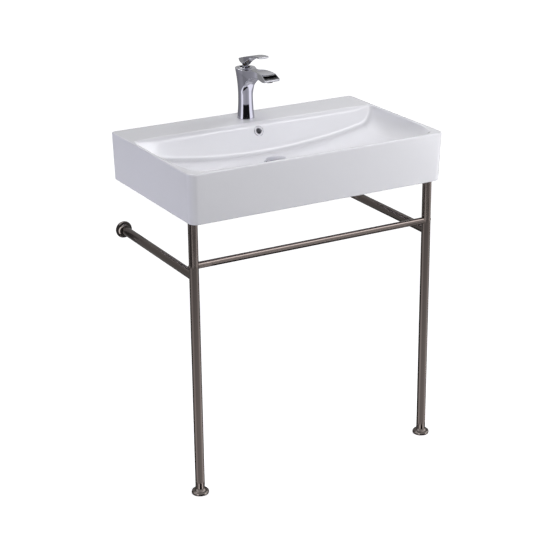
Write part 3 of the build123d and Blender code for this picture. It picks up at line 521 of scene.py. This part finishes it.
top_line = curve([
    (-COLUMN_TOP - 4, COLUMN_HEIGHT - 2.5),
    (0, COLUMN_HEIGHT - 2.5),
    (31, COLUMN_HEIGHT - 3.5),
    (64, COLUMN_HEIGHT + 1.5),
    (92, COLUMN_HEIGHT + 5),
    (116, COLUMN_HEIGHT + 5),
    (SPOUT_REACH - 22, COLUMN_HEIGHT + 3.5),
])
under_line = curve([
    (18, COLUMN_HEIGHT - 56),
    (36, COLUMN_HEIGHT - 37),
    (55, COLUMN_HEIGHT - 25),
    (78, COLUMN_HEIGHT - 16),
    (100, COLUMN_HEIGHT - 13),
    (126, COLUMN_HEIGHT - 15.5),
    (146, COLUMN_HEIGHT - 14.6),
    (SPOUT_REACH - 2, COLUMN_HEIGHT - 11),
])
spout_side = curve([(0, COLUMN_TOP - 4), (50, SPOUT_HALF), (95, SPOUT_HALF), (SPOUT_REACH - 3, LIP_HALF)])
SPOUT_TAPER = (
    (COLUMN_HEIGHT - 50, COLUMN_HEIGHT - 22, COLUMN_HEIGHT),
    (COLUMN_WAIST - 4, SPOUT_HALF, COLUMN_TOP - 2),
)


def to_line(line, forward, up):
    """How far a point is above a line, square to it."""
    slope = (line(forward + 0.5) - line(forward - 0.5))
    return (up - line(forward)) / np.sqrt(1 + slope**2)


def beyond(forward, up, one, two):
    """How far a point is past the straight line from one to two, on the side of the line's right hand."""
    along = hypot(two[0] - one[0], two[1] - one[1])
    return ((forward - one[0]) * (two[1] - one[1]) - (up - one[1]) * (two[0] - one[0])) / along


def mixer_field(x, y, z):
    forward, up = tap_y - y, z - rim_z
    around = np.hypot(x, forward)
    low = (COLUMN_FOOT - COLUMN_WAIST) * ((WAIST_HEIGHT - up) / WAIST_HEIGHT) ** 2
    high = (COLUMN_TOP - COLUMN_WAIST) * ((up - WAIST_HEIGHT) / (COLUMN_HEIGHT - WAIST_HEIGHT)) ** 2
    column = around - COLUMN_WAIST - np.where(up < WAIST_HEIGHT, low, high)

    reach = np.clip(forward, 0, SPOUT_REACH)
    side = np.abs(x) - np.minimum(spout_side(reach), np.interp(up, *SPOUT_TAPER))
    drop = to_line(under_line, np.clip(forward, 10, SPOUT_REACH), up)
    front = forward - SPOUT_REACH + 3 * (x / LIP_HALF) ** 2
    spout = both(both(side, -drop, 2.5), np.maximum(-forward, front), 1.2)
    bowed = forward + 3 * (x / LIP_HALF) ** 2
    face = -beyond(bowed, up, (SPOUT_REACH - 22, COLUMN_HEIGHT + 3.5), (SPOUT_REACH - 3, COLUMN_HEIGHT - 6))
    spout = both(spout, face, 0.8)
    solid = either(column, spout, 9.0)
    solid = both(solid, to_line(top_line, np.clip(forward, -COLUMN_TOP - 4, SPOUT_REACH - 22), up), 1.4)
    solid = both(solid, -up, 0.6)

    low = COLUMN_HEIGHT - 11.5 + (forward - MOUTH_BACK) * 6 / (SPOUT_REACH - 5 - MOUTH_BACK)
    ahead = np.minimum(forward, SPOUT_REACH - 26) - MOUTH_BACK
    high = COLUMN_HEIGHT - 3 + ahead * 4 / (SPOUT_REACH - 26 - MOUTH_BACK)
    flare = MOUTH_HALF + (MOUTH_LIP_HALF - MOUTH_HALF) * (forward - MOUTH_BACK) / (SPOUT_REACH - MOUTH_BACK)
    mouth = both(both(np.abs(x) - flare, low - up, 0.8), np.maximum(up - high, MOUTH_BACK - forward), 0.8)
    solid = without(solid, mouth, 0.5)
    solid = without(solid, np.maximum(around - 19.2, RING_LOW - up), 0.5)
    clip = np.maximum(np.hypot(x, forward - CLIP[0]) - 9.2, up - COLUMN_HEIGHT - CLIP[1] - 1)
    return without(solid, clip, 0.3)


def make_mixer():
    x_stops = [(-30, 0.95), (30, 1)]
    y_stops = [(tap_y - SPOUT_REACH - 2, 0.95), (tap_y + 31, 1)]
    z_stops = [(rim_z - 1.2, 0.8), (rim_z + 4, 2.2), (rim_z + 82, 1.2), (rim_z + 112, 0.85), (rim_z + 152, 1)]
    lines = [steps(*stops) for stops in (x_stops, y_stops, z_stops)]
    field_piece("mixer_casting", mixer_field, lines, "basin_and_stand", "chrome", ["mixer_body"])


# Lever

NECK_TOP = 150.0
NECK_LOW = 136.0
LEVER_REACH = 113.0
LEVER_TAIL = 18.0

lever_top = curve([
    (-LEVER_TAIL, NECK_TOP + 15),
    (0, NECK_TOP + 20.5),
    (20, NECK_TOP + 26),
    (55, NECK_TOP + 35),
    (85, NECK_TOP + 40),
    (LEVER_REACH - 4, NECK_TOP + 41),
])
lever_under = curve([
    (14, NECK_TOP + 8),
    (22.5, NECK_TOP + 12),
    (32, NECK_TOP + 16.5),
    (48, NECK_TOP + 25),
    (66, NECK_TOP + 32),
    (92, NECK_TOP + 35.5),
    (LEVER_REACH, NECK_TOP + 36),
])
neck_line = curve([
    (NECK_TOP - 2.5, 8.5),
    (NECK_TOP + 0.5, 14),
    (NECK_TOP + 4, 17),
    (NECK_TOP + 8, 18.5),
    (NECK_TOP + 12, 21.5),
])
lever_side = curve([(-LEVER_TAIL, 11), (40, 13), (LEVER_REACH - 7, 16)])
lever_flare = curve([
    (NECK_TOP - 8, 6),
    (NECK_TOP, 6),
    (NECK_TOP + 5.2, 9.5),
    (NECK_TOP + 13, 13),
    (NECK_TOP + 26, 16),
])


def lever_field(x, y, z):
    forward, up = tap_y - y, z - rim_z
    top = to_line(lever_top, np.clip(forward, -LEVER_TAIL, LEVER_REACH - 4), up)
    under = -to_line(lever_under, np.clip(forward, 14, LEVER_REACH), up)
    chin = np.clip(up, NECK_TOP - 2.5, NECK_TOP + 12)
    neck_front = either(under, to_line(neck_line, chin, forward), 3.0)
    back = -beyond(forward, up, (-6.5, NECK_TOP), (-11.5, NECK_TOP + 5))
    tail = -beyond(forward, up, (-11.5, NECK_TOP + 5), (-LEVER_TAIL, NECK_TOP + 15))
    rear = np.where(up > NECK_TOP, np.maximum(back, tail), -6.5 - forward)
    plan = np.abs(x) - lever_side(np.clip(forward, -LEVER_TAIL, LEVER_REACH - 7))
    tip = forward - LEVER_REACH + 7 * (x / 16) ** 2
    flare = np.abs(x) - lever_flare(np.clip(up, NECK_TOP - 8, NECK_TOP + 26))
    solid = both(both(top, plan, 1.3), tip, 1.6)
    solid = both(solid, neck_front, 1.2)
    solid = both(solid, rear, 1.2)
    solid = both(solid, flare, 1.2)
    solid = both(solid, NECK_LOW - up, 0.6)
    bore = np.maximum(np.hypot(x, up - NECK_TOP - 6.5) - 3.7, 11.6 - forward)
    return without(solid, bore, 0.5)


def make_lever():
    x_stops = [(-17.5, 0.7), (17.5, 1)]
    y_stops = [(tap_y - LEVER_REACH - 2, 0.8), (tap_y + 20, 1)]
    z_stops = [(rim_z + NECK_LOW - 1, 0.7), (rim_z + NECK_TOP + 43, 1)]
    lines = [steps(*stops) for stops in (x_stops, y_stops, z_stops)]
    field_piece("lever_casting", lever_field, lines, "lever", "chrome", ["lever"])


# Studio

FLOOR_HALF = 8.0
FLOOR_DROP = 0.0005
FLOOR_GLOW = 0.6
FLOOR_NEAR = 1.0
FLOOR_FAR = 3.0
WORLD_TINT = (0.93, 0.93, 1.0, 1)
WORLD_LIGHT = 0.1
WHITE = (1, 1, 1)
COOL = (0.9, 0.9, 1.0)
LAMPS = (
    ("front_high", (0.1, -2.2, 2.4), (0, 0, 0.9), 1.6, 0.6, 16.2, WHITE, True),
    ("back_high", (0.1, 1.3, 2.3), (0, 0, 0.9), 1.6, 0.5, 15.4, WHITE, True),
    ("left_low", (-1.9, 0.2, 0.7), (0, 0, 0.75), 0.8, 0.8, 12.0, COOL, True),
    ("right_low", (1.2, -1.1, 0.62), (0.25, -0.2, 0.85), 0.4, 0.5, 7.0, WHITE, False),
    ("near_right", (1.0, -0.75, 1.15), (0.3, -0.1, 0.85), 0.3, 0.5, 1.5, WHITE, False),
    ("right_top", (1.0, 0.15, 1.8), (0.2, 0.1, 1.0), 0.5, 0.5, 4.6, WHITE, False),
    ("bowl_top", (-0.25, -0.75, 2.0), (-0.05, 0.05, 0.95), 0.4, 0.4, 5.2, WHITE, False),
)


def seen_directly(tree):
    """1 on rays from the camera, off gloss and through glass, and 0 on rays that carry soft light."""
    path = tree.nodes.new("ShaderNodeLightPath")
    seen = path.outputs["Is Camera Ray"]
    for name in ("Is Glossy Ray", "Is Transmission Ray"):
        either_one = tree.nodes.new("ShaderNodeMath")
        either_one.operation = "MAXIMUM"
        tree.links.new(seen, either_one.inputs[0])
        tree.links.new(path.outputs[name], either_one.inputs[1])
        seen = either_one.outputs["Value"]
    return seen


def make_world():
    """Plain surroundings: white where they are seen, and a soft cool light on the object."""
    world = bpy.data.worlds.new("studio")
    bpy.context.scene.world = world
    world.use_nodes = True
    tree = world.node_tree
    tree.nodes.clear()
    out = tree.nodes.new("ShaderNodeOutputWorld")
    white = tree.nodes.new("ShaderNodeBackground")
    white.inputs["Color"].default_value = (1, 1, 1, 1)
    light = tree.nodes.new("ShaderNodeBackground")
    light.inputs["Color"].default_value = WORLD_TINT
    light.inputs["Strength"].default_value = WORLD_LIGHT
    mix = tree.nodes.new("ShaderNodeMixShader")
    tree.links.new(seen_directly(tree), mix.inputs["Fac"])
    tree.links.new(light.outputs["Background"], mix.inputs[1])
    tree.links.new(white.outputs["Background"], mix.inputs[2])
    tree.links.new(mix.outputs["Shader"], out.inputs["Surface"])


def make_floor():
    """A pale floor whose own glow takes it to white where it is seen, and hides the object's shadow."""
    half, low = FLOOR_HALF, -FLOOR_DROP
    mesh = bpy.data.meshes.new("floor")
    corners = [(-half, -half, low), (half, -half, low), (half, half, low), (-half, half, low)]
    mesh.from_pydata(corners, [], [(0, 1, 2, 3)])
    floor = bpy.data.objects.new("floor", mesh)
    bpy.context.scene.collection.objects.link(floor)
    material, shader, node, link = new_material("floor")
    pale = (0.95, 0.95, 0.95, 1)
    tone = mix_colours(node, link, noise(node, link, 2.0), (0.92, 0.92, 0.92, 1), pale)
    link(tone, shader.inputs["Base Color"])
    shader.inputs["Roughness"].default_value = 0.9
    shader.inputs["Specular IOR Level"].default_value = 0.1
    shader.inputs["Emission Color"].default_value = (1, 1, 1, 1)
    place = node("ShaderNodeTexCoord")
    out = node("ShaderNodeVectorMath", operation="LENGTH")
    link(place.outputs["Object"], out.inputs[0])
    glow = node("ShaderNodeMath", operation="MULTIPLY")
    link(ramp(node, link, out.outputs["Value"], FLOOR_GLOW, 1.0, FLOOR_NEAR, FLOOR_FAR), glow.inputs[0])
    link(seen_directly(material.node_tree), glow.inputs[1])
    link(glow.outputs["Value"], shader.inputs["Emission Strength"])
    mesh.materials.append(material)


def add_painted_reflection_card(name, points, faces, painted_glows, tint=(1, 1, 1)):
    """A card that only polished surfaces show, and only from its front, as a painted reflection: its glow
    runs from point to point.
    """
    mesh = bpy.data.meshes.new(name)
    mesh.from_pydata(points, [], faces)
    glow = mesh.color_attributes.new("glow", "FLOAT_COLOR", "POINT")
    for point, strength in zip(glow.data, painted_glows):
        point.color = (*(strength * part for part in tint), 1)
    card = bpy.data.objects.new(name, mesh)
    bpy.context.scene.collection.objects.link(card)
    mesh.materials.append(painted_reflection_material())
    card.visible_camera = False
    card.visible_diffuse = False
    card.visible_shadow = False
    card.visible_transmission = False


def painted_reflection_material():
    """A painted reflection: a glow from the front, and nothing from behind."""
    if "card" in bpy.data.materials:
        return bpy.data.materials["card"]
    material = bpy.data.materials.new("card")
    material.use_nodes = True
    tree = material.node_tree
    tree.nodes.clear()
    # The painted reflection's glow, from the card's points
    glow = tree.nodes.new("ShaderNodeVertexColor")
    glow.layer_name = "glow"
    front = tree.nodes.new("ShaderNodeEmission")
    tree.links.new(glow.outputs["Color"], front.inputs["Color"])
    behind = tree.nodes.new("ShaderNodeBsdfTransparent")
    side = tree.nodes.new("ShaderNodeNewGeometry")
    mix = tree.nodes.new("ShaderNodeMixShader")
    out = tree.nodes.new("ShaderNodeOutputMaterial")
    tree.links.new(side.outputs["Backfacing"], mix.inputs["Fac"])
    tree.links.new(front.outputs["Emission"], mix.inputs[1])
    tree.links.new(behind.outputs["BSDF"], mix.inputs[2])
    tree.links.new(mix.outputs["Shader"], out.inputs["Surface"])
    return material


def upright(name, start, end, low, high, glow_low, glow_high):
    """An upright painted reflection card over the floor line from start to end, whose front is on the line's
    left hand.
    """
    corners = [(*end, low), (*start, low), (*start, high), (*end, high)]
    add_painted_reflection_card(name, corners, [(0, 1, 2, 3)], (glow_low, glow_low, glow_high, glow_high))


def flat_painted_reflection_card(name, x_start, x_end, y_low, y_high, z, glow):
    """A level painted reflection card that faces up where x_start is the smaller, and down where it is the
    larger.
    """
    corners = [(x_start, y_low, z), (x_end, y_low, z), (x_end, y_high, z), (x_start, y_high, z)]
    add_painted_reflection_card(name, corners, [(0, 1, 2, 3)], (glow,) * 4)


def lining(name, centre, span, rows, glow, tint=(1, 1, 1)):
    """A card of painted reflections bent round an upright line, facing in, through (height, radius) rows.

    Its angles run from straight ahead towards the right.
    """
    angles = np.linspace(*span, 1 + round((span[1] - span[0]) / 2))
    points, painted_glows = [], []
    for height, radius in rows:
        for angle in angles:
            a = radians(angle)
            points.append((centre[0] + radius * sin(a), centre[1] - radius * cos(a), height))
            painted_glows.append(glow(angle, height))
    count = len(angles)
    faces = []
    for start in range(0, (len(rows) - 1) * count, count):
        faces += [(i + 1, i, i + count, i + count + 1) for i in range(start, start + count - 1)]
    add_painted_reflection_card(name, points, faces, painted_glows, tint)


def between(at, stops):
    """The value at a place, from (place, value) stops."""
    return float(np.interp(at, *zip(*stops)))


# Painted reflections round the tap by angle: grey shades, two painted highlights, and painted black low in
# front
TAP_SPAN = (-140, 120)
TAP_PAINTED_GREYS = (
    (-140, 0.22), (-115, 0.28), (-90, 0.38), (-60, 0.55),
    (-12, 0.42), (20, 0.6), (66, 0.45), (80, 0.4),
)
TAP_PAINTED_HIGHLIGHT = ((-90, 0), (-82, 0.9), (-64, 0.9), (-57, 0), (16, 0), (24, 0.9), (58, 0.9), (66, 0))
TAP_PAINTED_HIGHLIGHT_FADE = ((0.06, 0.9), (0.112, 0.2))
TAP_PAINTED_BLACK = (-60, 16, 0.034)
TAP_PAINTED_TINT = (0.97, 0.96, 1.06)
TAP_LINING = 0.062
TAP_HEIGHTS = (0, 0.033, 0.035, 0.06, 0.112, 0.16)
# The visor above the tap lining: a painted dark reflection
VISOR_SPAN = (-80, 40)
VISOR_GAP = 0.001
VISOR_HIGH = 0.26
VISOR_PAINTED_DARK = 0.05

# Painted reflections round each leg by angle, and how they fall off upwards into painted shade under the
# basin
LEG_PAINTED_REFLECTION = (
    (-130, 0.1), (-112, 0.15), (-102, 1.15), (-76, 1.15), (-64, 0.62), (10, 0.7), (32, 0.85), (42, 1.5),
    (70, 1.5), (82, 0.15), (100, 0.1),
)
LEG_SPAN = (-130, 100)
LEG_BRIGHT_TOP = 0.2
LEG_PAINTED_SHADE_FADE = ((LEG_BRIGHT_TOP, 1.0), (0.65, 0.6))
BAR_GAP = 0.01
LEG_LINING = 0.06

# Painted reflections round each foot by angle: two painted highlight lines with painted black between them
FOOT_PAINTED_REFLECTION = (
    (-130, 0.1), (-100, 0.4), (-60, 0.5), (-56, 3.0), (-43, 3.0), (-39, 0.02),
    (12, 0.02), (16, 3.0), (31, 3.0), (35, 0.5), (90, 0.4), (100, 0.1),
)
FOOT_ROWS = ((0.0005, 0.026), (0.003, 0.045), (0.008, LEG_LINING))

# Painted reflections round each wall flange by angle: nearly black with one painted highlight line
FLANGE_PAINTED_REFLECTION = (
    (-130, 0.05), (-100, 0.12), (-72, 0.12), (-67, 2.5), (-52, 2.5),
    (-47, 0.1), (-5, 0.04), (60, 0.15), (100, 0.1),
)
FLANGE_LINING = 0.06
FLANGE_REACH = 0.07


# Painted reflection on the tap at an angle and height: greys, painted highlights, and painted black low in
# front
def tap_painted_glow(angle, height):
    up = height - rim_z * MM
    start, end, painted_black_top = TAP_PAINTED_BLACK
    if start <= angle <= end and up < painted_black_top:
        # Painted black reflection low in front of the tap
        return 0.01
    return between(angle, TAP_PAINTED_GREYS) + between(angle, TAP_PAINTED_HIGHLIGHT) * between(up, TAP_PAINTED_HIGHLIGHT_FADE)


# Painted reflection on a leg, darker upwards as painted shade
def leg_painted_glow(angle, height):
    return between(angle, LEG_PAINTED_REFLECTION) * between(height, LEG_PAINTED_SHADE_FADE)


# Painted dark reflection above the tap
def visor_painted_dark_glow(angle, height):
    return VISOR_PAINTED_DARK


# Painted highlights and painted black on a foot cover
def foot_painted_glow(angle, height):
    return between(angle, FOOT_PAINTED_REFLECTION)


# Painted black and a painted highlight on a wall flange
def flange_painted_glow(angle, height):
    return between(angle, FLANGE_PAINTED_REFLECTION)


def make_painted_reflection_linings():
    """Painted reflections: cards close round the tap, the legs, the feet and the wall flanges, which only
    polished surfaces show.

    They draw bright and dark lines for the photograph's view. The spout, the lever, the rails and
    the crossbar pass through them.
    """
    rim = rim_z * MM
    tap = (0, tap_y * MM)
    # The tap's lining of painted reflections
    rows = [(rim + up, TAP_LINING) for up in TAP_HEIGHTS]
    lining("tap_painted_reflections", tap, TAP_SPAN, rows, tap_painted_glow, TAP_PAINTED_TINT)
    # The visor above it, a painted dark reflection
    rows = [(rim + up, TAP_LINING) for up in (TAP_HEIGHTS[-1] + VISOR_GAP, VISOR_HIGH)]
    lining("tap_painted_dark_visor", tap, VISOR_SPAN, rows, visor_painted_dark_glow)
    under_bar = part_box("crossbar")[0].z - BAR_GAP
    for side, name in ((-1, "left"), (1, "right")):
        foot = (side * leg_x * MM, leg_y * MM)
        # Painted reflections round the leg, darker upwards as painted shade
        rows = [(up, LEG_LINING) for up in (FOOT_ROWS[-1][0], LEG_BRIGHT_TOP, under_bar)]
        lining(f"{name}_leg_painted_reflections", foot, LEG_SPAN, rows, leg_painted_glow)
        # Painted highlights and painted black round the foot
        lining(f"{name}_foot_painted_reflections", foot, LEG_SPAN, FOOT_ROWS, foot_painted_glow)
        # Painted reflections round the wall flange
        low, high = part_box(f"{name}_wall_cover")
        middle = (low + high) / 2
        rows = [(middle.z + up, FLANGE_LINING) for up in (-FLANGE_REACH, FLANGE_REACH)]
        lining(f"{name}_flange_painted_reflections", (middle.x, middle.y), LEG_SPAN, rows, flange_painted_glow)


def make_painted_reflection_cards():
    """The larger cards, painted reflections that only polished surfaces show: a grey wall behind that
    lightens upwards, dark cards below, a bright one above as a painted highlight.
    """
    # Painted reflection of a grey wall behind, lighter upwards
    upright("painted_reflection_wall_low", (2.6, 0.9), (-2.2, 0.9), 0.0, 1.1, 0.3, 0.35)
    upright("painted_reflection_wall_high", (2.6, 0.9), (-2.2, 0.9), 1.1, 1.9, 0.35, 1.0)
    # Painted dark and grey reflections at the left, on the floor and overhead
    upright("painted_dark_left_wall", (-1.5, 0.4), (-1.5, -0.9), 0.0, 2.0, 0.1, 0.1)
    flat_painted_reflection_card("painted_dark_back_floor", -1.8, 1.8, -0.19, 0.9, 0.001, 0.08)
    flat_painted_reflection_card("painted_dark_front_floor", -0.6, 1.0, -0.9, -0.19, 0.001, 0.1)
    flat_painted_reflection_card("painted_reflection_far_floor", -2.2, 1.8, -2.9, -1.7, 0.001, 0.3)
    flat_painted_reflection_card("painted_dark_back_ceiling", 2.6, 0.0, -0.2, 0.9, 1.9, 0.25)
    # A painted highlight for the crossbar, high above
    flat_painted_reflection_card("painted_highlight_over_bar", 1.7, 0.4, -1.6, -0.6, 2.0, 4.2)


def make_lamp(name, place, aim, width, height, power, tint, mirrored):
    """An area lamp. Where it isn't mirrored, gloss doesn't show its shape."""
    data = bpy.data.lights.new(name, "AREA")
    data.shape = "RECTANGLE"
    data.size = width
    data.size_y = height
    data.energy = power
    data.color = tint
    lamp = bpy.data.objects.new(name, data)
    lamp.location = place
    lamp.rotation_mode = "QUATERNION"
    lamp.rotation_quaternion = (Vector(place) - Vector(aim)).to_track_quat("Z", "Y")
    lamp.visible_camera = False
    lamp.visible_glossy = mirrored
    bpy.context.scene.collection.objects.link(lamp)


bpy.context.scene.view_settings.view_transform = "Standard"
make_camera()
make_world()
make_floor()
# Painted reflections: a wall behind, dark cards below and a bright card above
make_painted_reflection_cards()
# Painted reflections close round the tap, the legs, the feet and the wall flanges
make_painted_reflection_linings()
for lamp in LAMPS:
    make_lamp(*lamp)
dress_nodes()
make_basin()
make_mixer()
make_lever()
